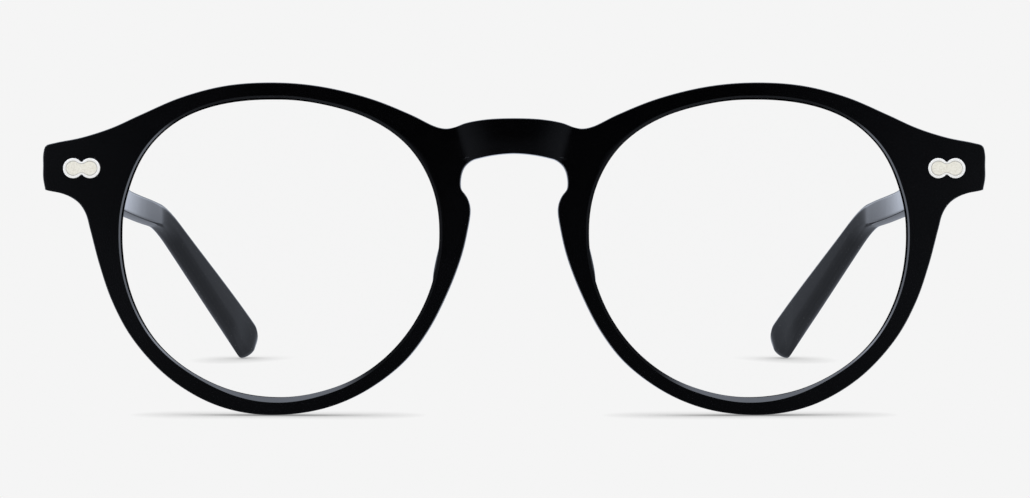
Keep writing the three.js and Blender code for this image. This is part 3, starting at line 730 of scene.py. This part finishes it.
def lens_shells():
    """A shallow dome: rings of the opening's outline shrunk towards the middle, each set forward by the crown
    times one less its share squared, then the bevel, then the back dome."""
    angle = np.linspace(0, TURN, 181)
    middle = FRONT_THICKNESS / 2
    rings = []
    shares = np.sin(np.linspace(0, math.pi / 2, 20))
    for side, order in ((-1, shares), (1, shares[::-1])):
        for share in order:
            x, z = lens_edge(angle, 0, share)
            rings.append(stack(x, middle + side * LENS_EDGE / 2 - LENS_CROWN * (1 - share**2), z))
        if side < 0:
            for tip in (-1, 1):
                x, z = lens_edge(angle, BEVEL_HEIGHT)
                rings.append(stack(x, middle + tip * LENS_EDGE_TIP / 2, z))
    return [shell(stood(wrap(np.array(rings))))]


# The nose pads

def pad_shells():
    """A nose pad: half rings carried along the nose side of the rim, whose width and depth swell with a power
    of the sine of the way along, flared away from the nose as they rise from the back of the front. A flat
    strip closes it against the front."""
    rim = smooth_run(rim_points([point for point in RIM_NOSE if PAD_LOW < point[1] < PAD_HIGH]))
    rim = spaced(rim, 0.25)
    share = np.linspace(0, 1, len(rim))
    swell = np.sin(math.pi * np.clip(share, 0.001, 0.999)) ** PAD_SWELL
    angle = np.linspace(0, math.pi, 25)[:, None]
    back = PAD_DEPTH * swell * np.sin(angle)
    x = rim[:, 0] + PAD_INSET + PAD_HALF * swell * np.cos(angle) + PAD_FLARE * back
    rings = stack(x, FRONT_THICKNESS - PAD_SINK + back, rim[:, 1])
    return [shell(stood(wrap(np.moveaxis(rings, 0, 1)))), shell(stood(wrap(np.moveaxis(rings[[0, -1]], 0, 1))))]


# The plaques

def peanut(lobe, waist):
    """Two circles joined at a waist, as one loop: each circle's arc, and between them above and below an arc
    that touches both, whose radius follows from the waist."""
    radius, half, low = lobe / 2, PLAQUE_PITCH / 2, waist / 2
    fillet = (low**2 + half**2 - radius**2) / (2 * (radius - low))
    touch = math.atan2(low + fillet, half)
    angle = np.linspace(touch - math.pi, math.pi - touch, 64)
    right = stack(half + radius * np.cos(angle), radius * np.sin(angle))
    angle = np.linspace(-touch, touch - math.pi, 14)[1:-1]
    over = stack(fillet * np.cos(angle), low + fillet + fillet * np.sin(angle))
    return np.vstack([right, over, -right, -over, right[:1]])


def plaque_shells():
    """The plaque across: a wall, a rounded bright lip, a fine line sunk at its inner edge and painted grey as
    shade, and a low field that closes on its middle line. Its attribute is 0 on the lip, part of 1 on the painted
    shade line and 1 on the field.
    Each row of the profile is a step, a depth and that attribute: the steps are 0 at the outer loop, 1 at the
    field's and 2 on the middle line, with straight mixes between."""
    outer, inner = peanut(PLAQUE_LOBE, PLAQUE_WAIST), peanut(FIELD_LOBE, FIELD_WAIST)
    spine = inner * [0.62, 0]
    face = -PLAQUE_PROUD
    field = face + FIELD_DEPTH
    profile = [(0, PLAQUE_SINK, 0), (0, face + PLAQUE_EDGE, 0)]
    for a in np.linspace(0, math.pi / 2, 6)[1:]:
        profile.append((0.2 * (1 - math.cos(a)), face + PLAQUE_EDGE * (1 - math.sin(a)), 0))
    profile += [(0.7, face, 0), (0.9, face + 0.01, 0), (0.97, face + 0.05, 0.2), (1.02, field + 0.03, 0.4),
                (1.09, field, 0.45), (1.14, field, 1), (1.4, field - 0.015, 1), (1.7, field - 0.02, 1),
                (2, field - 0.02, 1)]
    rings, zones = [], []
    for step, depth, zone in profile:
        ring = mix(outer, inner, step) if step <= 1 else mix(inner, spine, step - 1)
        rings.append(stack(ring[:, 0], depth, ring[:, 1]))
        zones.append(np.full(len(ring), zone))
    grid = seated(np.array(rings), PLAQUE_SEAT, PLAQUE_X / WRAP_RADIUS)
    return [shell(grid)], np.concatenate(zones)


# Temples

def temple_frame(s):
    """The middle line at a distance from the hinge: straight, a circular bend down that also tucks in, and
    straight on, with its sideways and upward directions."""
    turned = np.clip((s - BEND_START) / BEND_RADIUS, 0, BEND)
    past = np.maximum(s - BEND_END, 0)
    y = np.minimum(s, BEND_START) + BEND_RADIUS * np.sin(turned) + past * np.cos(turned)
    z = BEND_RADIUS * (np.cos(turned) - 1) - past * np.sin(turned)
    tucked = np.clip(s - TUCK_START, 0, BEND_END - TUCK_START)
    slope = TUCK * tucked / (BEND_END - TUCK_START)
    inwards = slope * tucked / 2 + TUCK * past
    forward = stack(-slope, np.cos(turned), -np.sin(turned))
    forward /= np.linalg.norm(forward, axis=-1, keepdims=True)
    side = np.array([1.0, 0, 0]) - forward * forward[:, :1]
    side /= np.linalg.norm(side, axis=-1, keepdims=True)
    centre = stack(STAND_IN + TEMPLE_THICKNESS / 2 - inwards, y, z)
    return centre, side, np.cross(side, forward)


def temple_rings(s, pocket, notch, inset):
    """Rings of a rounded oblong along the middle line. The height falls from the hinge to the waist and
    swells to the tip, whose end is drawn in and thinned as a circle and whose inner side falls back below as a
    quarter ellipse. The inner side is hollowed along the shank by a quartic bow. Where pocket is set it is sunk
    for the hinge leaf, and where notch is set it is cut back beside the knuckles. An inset shrinks the ring all
    round."""
    centre, side, up = temple_frame(s)
    tapered = mix(TEMPLE_HEIGHT, TEMPLE_WAIST, ease(s, LEAF_LENGTH, WAIST_START))
    height = mix(tapered, TIP_HEIGHT, ease(s, BEND_START, TEMPLE_LENGTH - TIP_ROUND))
    width = mix(TEMPLE_THICKNESS, TIP_THICKNESS, ease(s, LEAF_LENGTH, TEMPLE_LENGTH))
    end = np.clip((s - TEMPLE_LENGTH + TIP_ROUND) / TIP_ROUND, 0, 1)
    draw = TIP_ROUND * (1 - np.sqrt(1 - (end * TIP_CLOSE) ** 2))
    height = np.maximum(height - 2 * draw, LEAST_HEIGHT) - 2 * inset
    thinning = np.minimum(np.sqrt(1 - end**2 * 0.94) / 0.42, 1)
    width = np.maximum(width - draw / 2, LEAST_WIDTH) * thinning
    bow = SHANK_BOW * np.maximum(1 - ((s - BOW_MIDDLE) / BOW_HALF) ** 2, 0) ** 2
    width = width - bow - 2 * inset
    corner = mix(TEMPLE_CORNER, SHANK_CORNER, ease(s, LEAF_LENGTH, SHANK_FROM))
    corner = mix(corner, TAIL_CORNER, ease(s, SHANK_TO, BEND_END))
    corner = np.minimum(corner, np.minimum(width, height) / 2 - 0.01)
    arc = np.linspace(0, math.pi / 2, 11)
    inner_end = np.where(pocket, math.pi - POCKET_BITE, math.pi)
    inner_arc = mix(math.pi / 2, inner_end[:, None], np.linspace(0, 1, 10))

    def corner_points(angles, right, top):
        """An arc of a corner's circle, whose middle lies a radius in from both sides."""
        across = right * (width / 2 - corner)[:, None] + corner[:, None] * np.cos(angles)
        high = top * (height / 2 - corner)[:, None] + corner[:, None] * np.sin(angles)
        return stack(across, high)

    one = corner_points(arc, 1, 1)
    two = corner_points(inner_arc, -1, 1)
    three = corner_points(-inner_arc[:, ::-1], -1, -1)
    four = corner_points(np.linspace(1.5 * math.pi, TURN, 11), 1, -1)
    plain = stack(-width / 2, height / 2 - corner)[:, None]
    plain = np.concatenate([plain, plain * [1, -1]], axis=1)
    inner_side = -STAND_IN - TEMPLE_THICKNESS / 2
    floor = LEAF_FACE + LEAF_THICKNESS + POCKET_SLACK + inner_side
    sunk = np.stack([two[:, -1], three[:, 0]], axis=1)
    sunk[..., 0] = floor
    inner = np.where(pocket[:, None, None], sunk, plain)
    ring = np.concatenate([one, two, inner, three, four], axis=1)
    lowness = np.clip((SCOOP_HEIGHT - height[:, None] / 2 - ring[..., 1]) / SCOOP_HEIGHT, 0, 1)
    near_end = ease(s, TEMPLE_LENGTH - SCOOP_START, TEMPLE_LENGTH - SCOOP_FULL)[:, None]
    scoop = near_end * (1 - np.sqrt(1 - lowness**2))
    fall = SCOOP_OUT * scoop * np.clip(width[:, None] / 2 - ring[..., 0], 0, None)
    ring += stack(fall + bow[:, None] / 2, SCOOP_UP * fall)
    cut = np.maximum(ring[..., 0], LEAF_FACE + inner_side)
    ring[..., 0] = np.where(notch[:, None], cut, ring[..., 0])
    centre = centre - up * ((TEMPLE_HEIGHT - tapered) / 2)[:, None]
    return centre[:, None] + ring[..., :1] * side[:, None] + ring[..., 1:] * up[:, None]


def temple_shells():
    """The whole temple: its mitred end behind the end piece, the notch, the pocket, the shank, the bend and the
    tip. Each row is a distance from the hinge, whether it is in the pocket and in the notch, and its inset.
    The first rows are then carried along Y onto the mitre, a plane parallel to the back of the front."""
    step = LEAF_STEP + POCKET_SLACK
    pocket_end = LEAF_LENGTH + POCKET_SLACK
    tip = TEMPLE_LENGTH - TIP_ROUND
    rows = [(0, 0, 1, inset) for inset, _ in END_EASE] + [(step, 0, 1, 0), (step, 1, 0, 0)]
    rows += [(s, 1, 0, 0) for s in np.linspace(step, pocket_end, 6)[1:]]
    rows += [(pocket_end, 0, 0, 0)]
    rows += [(s, 0, 0, 0) for s in np.linspace(pocket_end, TUCK_START, 50)[1:]]
    rows += [(s, 0, 0, 0) for s in np.linspace(TUCK_START, BEND_END, 24)[1:]]
    rows += [(s, 0, 0, 0) for s in np.linspace(BEND_END, tip, 30)[1:]]
    rows += [(tip + TIP_ROUND * math.sin(a), 0, 0, 0) for a in np.linspace(0, math.pi / 2, 16)[1:]]
    s, pocket, notch, inset = np.array(rows, float).T
    rings = temple_rings(s, pocket > 0, notch > 0, inset)
    turn = HINGE_X / WRAP_RADIUS - TOE_IN
    plane = FRONT_THICKNESS + SEAM - HINGE_Y
    for row, (_, depth) in enumerate(END_EASE):
        x, z = rings[row, :, 0], rings[row, :, 2]
        rings[row, :, 1] = (plane + depth + x * math.tan(turn) - z * math.sin(TILT)) / math.cos(TILT)
    return capped(seated(rings, HINGE_SEAT, TOE_IN, TILT))


# Hinges

def slab(low, high, round_):
    """A box with rounded edges: a small sphere whose eight eighths are pulled apart to the corners."""
    low, high = np.array(low, float), np.array(high, float)
    arc = np.linspace(0, math.pi / 2, 4)
    around = np.concatenate([arc + k * math.pi / 2 for k in range(4)] + [[0]])
    right = np.repeat([1, -1, -1, 1], 4).tolist() + [1]
    front = np.repeat([1, 1, -1, -1], 4).tolist() + [1]
    rise = np.concatenate([arc - math.pi / 2, arc])
    top = np.repeat([-1, 1], 4)
    half = (high - low) / 2 - round_
    x = np.outer(np.cos(rise), np.cos(around)) * round_ + np.array(right) * half[0]
    y = np.outer(np.cos(rise), np.sin(around)) * round_ + np.array(front) * half[1]
    z = np.sin(rise)[:, None] * round_ + (top * half[2])[:, None]
    return stack(x, y, z) + (low + high) / 2


def barrel(radius, low, high, edge=0.08, axis=2, centre=(0, 0, 0), dome=0):
    """A round bar with eased ends: a profile turned about its axis, whose ends may be domed."""
    profile = [(0, low - dome), (radius * 0.5, low - dome * 0.8), (radius - edge, low)]
    profile += [(radius, low + edge), (radius, high - edge), (radius - edge, high)]
    profile += [(radius * 0.5, high + dome * 0.8), (0, high + dome)]
    r, along = np.array(profile).T
    angle = np.linspace(0, TURN, 49)
    a, b = np.outer(r, np.cos(angle)), np.outer(r, np.sin(angle))
    c = np.broadcast_to(along[:, None], a.shape)
    parts = {0: (c, a, b), 1: (b, c, a), 2: (a, b, c)}[axis]
    return stack(*parts) + np.array(centre)


def knuckle_grids(first, web_x, web_y):
    """Every other knuckle of the five, each a short barrel with a web towards its leaf."""
    grids = []
    for i in range(first, 5, 2):
        low = -HINGE_HEIGHT / 2 + i * (KNUCKLE + KNUCKLE_GAP)
        grids.append(barrel(KNUCKLE_RADIUS, low, low + KNUCKLE))
        grids.append(slab((web_x[0], web_y[0], low), (web_x[1], web_y[1], low + KNUCKLE), 0.06))
    return grids


def front_leaf_grids():
    """The plate let into the back of the end piece, its knuckles, and the ends of the plaque's legs."""
    back = -LEAF_FACE
    inner = PLAQUE_X - LEG_PITCH / 2 - LEAF_MARGIN - HINGE_X
    half = HINGE_HEIGHT / 2
    grids = [slab((inner, back - LEAF_THICKNESS, -half), (KNUCKLE_RADIUS, back, half), 0.15)]
    grids += knuckle_grids(0, (-KNUCKLE_RADIUS, KNUCKLE_RADIUS / 2), (back - 0.4, 0))
    for side in (-1, 1):
        x = PLAQUE_X + side * LEG_PITCH / 2 - HINGE_X
        grids.append(barrel(LEG_RADIUS, back - 0.4, back - 0.02, 0.1, 1, (x, 0, 0), 0.1))
    return grids


def temple_leaf_grids():
    """The plate in the temple's pocket, its step beside the knuckles, and the peened ends of the rivets."""
    floor = LEAF_FACE + LEAF_THICKNESS
    half = HINGE_HEIGHT / 2
    grids = [slab((LEAF_FACE, KNUCKLE_GAP - KNUCKLE_RADIUS, -half), (floor, LEAF_STEP + 1, half), 0.1)]
    grids += [slab((STAND_IN + LEAF_FLUSH, LEAF_STEP, -half), (floor, LEAF_LENGTH, half), 0.18)]
    grids += knuckle_grids(1, (0, LEAF_FACE + 0.4), (-KNUCKLE_RADIUS / 2, KNUCKLE_RADIUS))
    for y in RIVET_PLACES:
        grids.append(barrel(PEEN_RADIUS, STAND_IN + 0.1, STAND_IN + 0.6, 0.12, 0, (0, y, 0), 0.08))
    return grids


def rivet_grid(y):
    """A rivet's head, flush in the temple's outer side and very slightly domed."""
    outer = STAND_IN + TEMPLE_THICKNESS
    return barrel(RIVET_RADIUS, outer - 0.4, outer + 0.015, 0.06, 0, (0, y, 0), 0.05)


# Both sides

for name, side in (("left", 1), ("right", -1)):
    body = f"{name}_temple"
    turn = HINGE_X / WRAP_RADIUS
    make(f"lens_clear_{name}", lens_shells(), side, "frame_front", lens_clear, [f"lens_{name}"], 50)
    make(f"nose_pad_smooth_{name}", pad_shells(), side, "frame_front", acetate_front,
         [f"nose_pad_{name}"], 60)
    shells, zones = plaque_shells()
    make(f"plaque_inlay_{name}", shells, side, "frame_front", plaque_ivory, [f"plaque_{name}"], 35, zones)
    make(f"front_leaf_hinge_{name}", [shell(seated(g, HINGE_SEAT, turn)) for g in front_leaf_grids()], side,
         "frame_front", leaf_metal, [f"front_leaf_{name}"], 35)
    make(f"temple_acetate_{name}", temple_shells(), side, body, acetate_temple, [f"temple_{name}"], 40)
    make(f"temple_leaf_hinge_{name}", [shell(seated(g, HINGE_SEAT, TOE_IN)) for g in temple_leaf_grids()], side,
         body, leaf_metal, [f"temple_leaf_{name}"], 35)
    for i, y in enumerate(RIVET_PLACES):
        make(f"rivet_head_{i + 1}_{name}", [shell(seated(rivet_grid(y), HINGE_SEAT, TOE_IN))], side, body,
             rivet_metal, [f"rivet_{i + 1}_{name}"], 35)
    for node, metal in ((f"hinge_screw_{name}", screw_metal), (f"core_wire_{name}", wire_metal)):
        frame["nodes"][node].data.materials.clear()
        frame["nodes"][node].data.materials.append(metal)


# Floor, light and camera. Levels and tones are linear, where 1 is white.

FLOOR_X = (-260, 260)
FLOOR_Y = (-240, 280)
PALE = 0.913
# How far the floor's painted contact shadow reaches, and how deep it is at most
PAINTED_SHADOW_REACH = 0.008
PAINTED_SHADOW_DEPTH = 0.7
DARK_ROOM = 0.002
BACKDROP_LEVEL = 2.1
CEILING_LEVEL = 3.4
WALL_LEVEL = 0.14
LAMP_LEVEL = 2.8
GROUND_LEVEL = 0.2
SKIRTING_LEVEL = 0.055
MIDDLE_SHARE = 0.35
SIDE_DIMMING = 0.09


def pale_floor():
    """A plain pale sheet under the glasses, a grid of a few faces. The camera sees it glowing evenly pale but for
    a painted shadow, darkened by ambient occlusion where a piece comes near it, and gloss looks through it at the
    room."""
    x, y = np.meshgrid(np.linspace(*FLOOR_X, 9), np.linspace(*FLOOR_Y, 9))
    vertices, faces = shell(stack(x, y, 0))
    mesh = bpy.data.meshes.new("studio_floor")
    mesh.from_pydata((vertices * MM).tolist(), [], faces[:, ::-1].tolist())
    floor = bpy.data.objects.new("studio_floor", mesh)
    bpy.context.scene.collection.objects.link(floor)
    made, shade = material("floor_paper")
    colour = shade.blend(shade.noise(8, 2), (PALE - 0.001,) * 3, (PALE + 0.001,) * 3)
    paper = shade.add("ShaderNodeBsdfPrincipled", {}, {"Base Color": colour, "Roughness": 1,
                                                       "Specular IOR Level": 0})
    # Painted shadow: the glow the camera sees is darkened by the ambient occlusion near a piece.
    near = shade.add("ShaderNodeAmbientOcclusion", {"samples": 12}, {"Distance": PAINTED_SHADOW_REACH})
    lit = 1 - PAINTED_SHADOW_DEPTH + PAINTED_SHADOW_DEPTH * Value(shade, near.outputs["AO"])
    painted_shadow_glow = shade.add("ShaderNodeEmission", {}, {"Color": shade.blend(lit, (0, 0, 0), colour)})
    path = shade.add("ShaderNodeLightPath")
    clear = shade.add("ShaderNodeBsdfTransparent")
    seen = shade.add("ShaderNodeMixShader", {}, {0: path.outputs["Is Glossy Ray"], 1: paper.outputs[0],
                                                 2: clear.outputs[0]})
    both = shade.add("ShaderNodeMixShader", {}, {0: path.outputs["Is Camera Ray"], 1: seen.outputs[0],
                                                 2: painted_shadow_glow.outputs[0]})
    shade.finish(both.outputs[0])
    mesh.materials.append(made)


def studio_light():
    """An even pale room. Gloss sees a dark one: a bright backdrop straight behind the glasses, fading by the
    fourth power, dimmer in the middle and dark in an upright lane on each side of it; a soft ceiling; dim walls
    and bright lamps at both sides, the lamps only in front; and the ground, dimmer at the sides, with a faint
    skirting above it and a paler stretch far behind. Each part is a product of steps of the direction's three
    components, all of them smooth but the backdrop's first."""
    world = bpy.data.worlds.new("studio")
    bpy.context.scene.world = world
    world.use_nodes = True
    shade = Shade(world.node_tree)
    way = shade.add("ShaderNodeTexCoord").outputs["Generated"]
    parts = shade.add("ShaderNodeSeparateXYZ", {}, {0: way})
    behind, above = Value(shade, parts.outputs[1]), Value(shade, parts.outputs[2])
    across = shade.add("ShaderNodeMath", {"operation": "ABSOLUTE"}, {0: parts.outputs[0]})
    aside = Value(shade, across.outputs[0])
    far = behind.clamped(0.9, 1, "LINEAR")
    far = far * far
    lanes = MIDDLE_SHARE * (1 - aside.clamped(0.02, 0.08)) + aside.clamped(0.07, 0.17)
    backdrop = far * far * above.clamped(-0.45, -0.1) * lanes
    walls = WALL_LEVEL * aside.clamped(0.12, 0.38)
    lamps = LAMP_LEVEL * aside.clamped(0.42, 0.66) * (1 - behind.clamped(0.05, 0.3))
    ground = (GROUND_LEVEL - SIDE_DIMMING * aside.clamped(0.15, 0.45)) * (1 - above.clamped(-0.5, 0.01))
    ground = ground + SKIRTING_LEVEL * (1 - above.clamped(0.015, 0.085))
    ground = ground + GROUND_LEVEL * far * (1 - above.clamped(-0.2, -0.06)) * above.clamped(-0.6, -0.35)
    ceiling = CEILING_LEVEL * above.clamped(0.35, 0.8)
    seen = DARK_ROOM + BACKDROP_LEVEL * backdrop + ceiling + walls + lamps + ground
    path = shade.add("ShaderNodeLightPath")
    gloss = Value(shade, path.outputs["Is Glossy Ray"])
    even = shade.add("ShaderNodeBackground", {}, {"Color": (PALE, PALE, PALE, 1)})
    lit = shade.add("ShaderNodeBackground", {}, {"Color": (1, 1, 1, 1)})
    tinted = shade.add("ShaderNodeBackground", {}, {"Color": (0.86, 0.93, 1.08, 1), "Strength": seen})
    camera = path.outputs["Is Camera Ray"]
    room = shade.add("ShaderNodeMixShader", {}, {0: gloss, 1: lit.outputs[0], 2: tinted.outputs[0]})
    whole = shade.add("ShaderNodeMixShader", {}, {0: camera, 1: room.outputs[0], 2: even.outputs[0]})
    shade.finish(whole.outputs[0], "ShaderNodeOutputWorld")


def camera_view():
    """The photograph's camera: a distance in front of the glasses' foremost plane, at a height above the floor,
    tipped down by some degrees, with a focal length in pixels of the photograph's width."""
    distance, height, tipped, sensor, width, focal_pixels = 600, 44.11, 1.876, 36, 1030, 4114
    data = bpy.data.cameras.new("camera")
    data.sensor_width = sensor
    data.lens = focal_pixels * sensor / width
    data.clip_start = 0.01
    data.clip_end = 50
    data.shift_x = 0.0008
    camera = bpy.data.objects.new("camera", data)
    camera.location = (0, solid_box[0][1] - distance * MM, height * MM)
    camera.rotation_euler = (math.radians(90 - tipped), 0, 0)
    bpy.context.scene.collection.objects.link(camera)
    bpy.context.scene.camera = camera


pale_floor()
studio_light()
camera_view()
bpy.context.scene.view_settings.view_transform = "Standard"
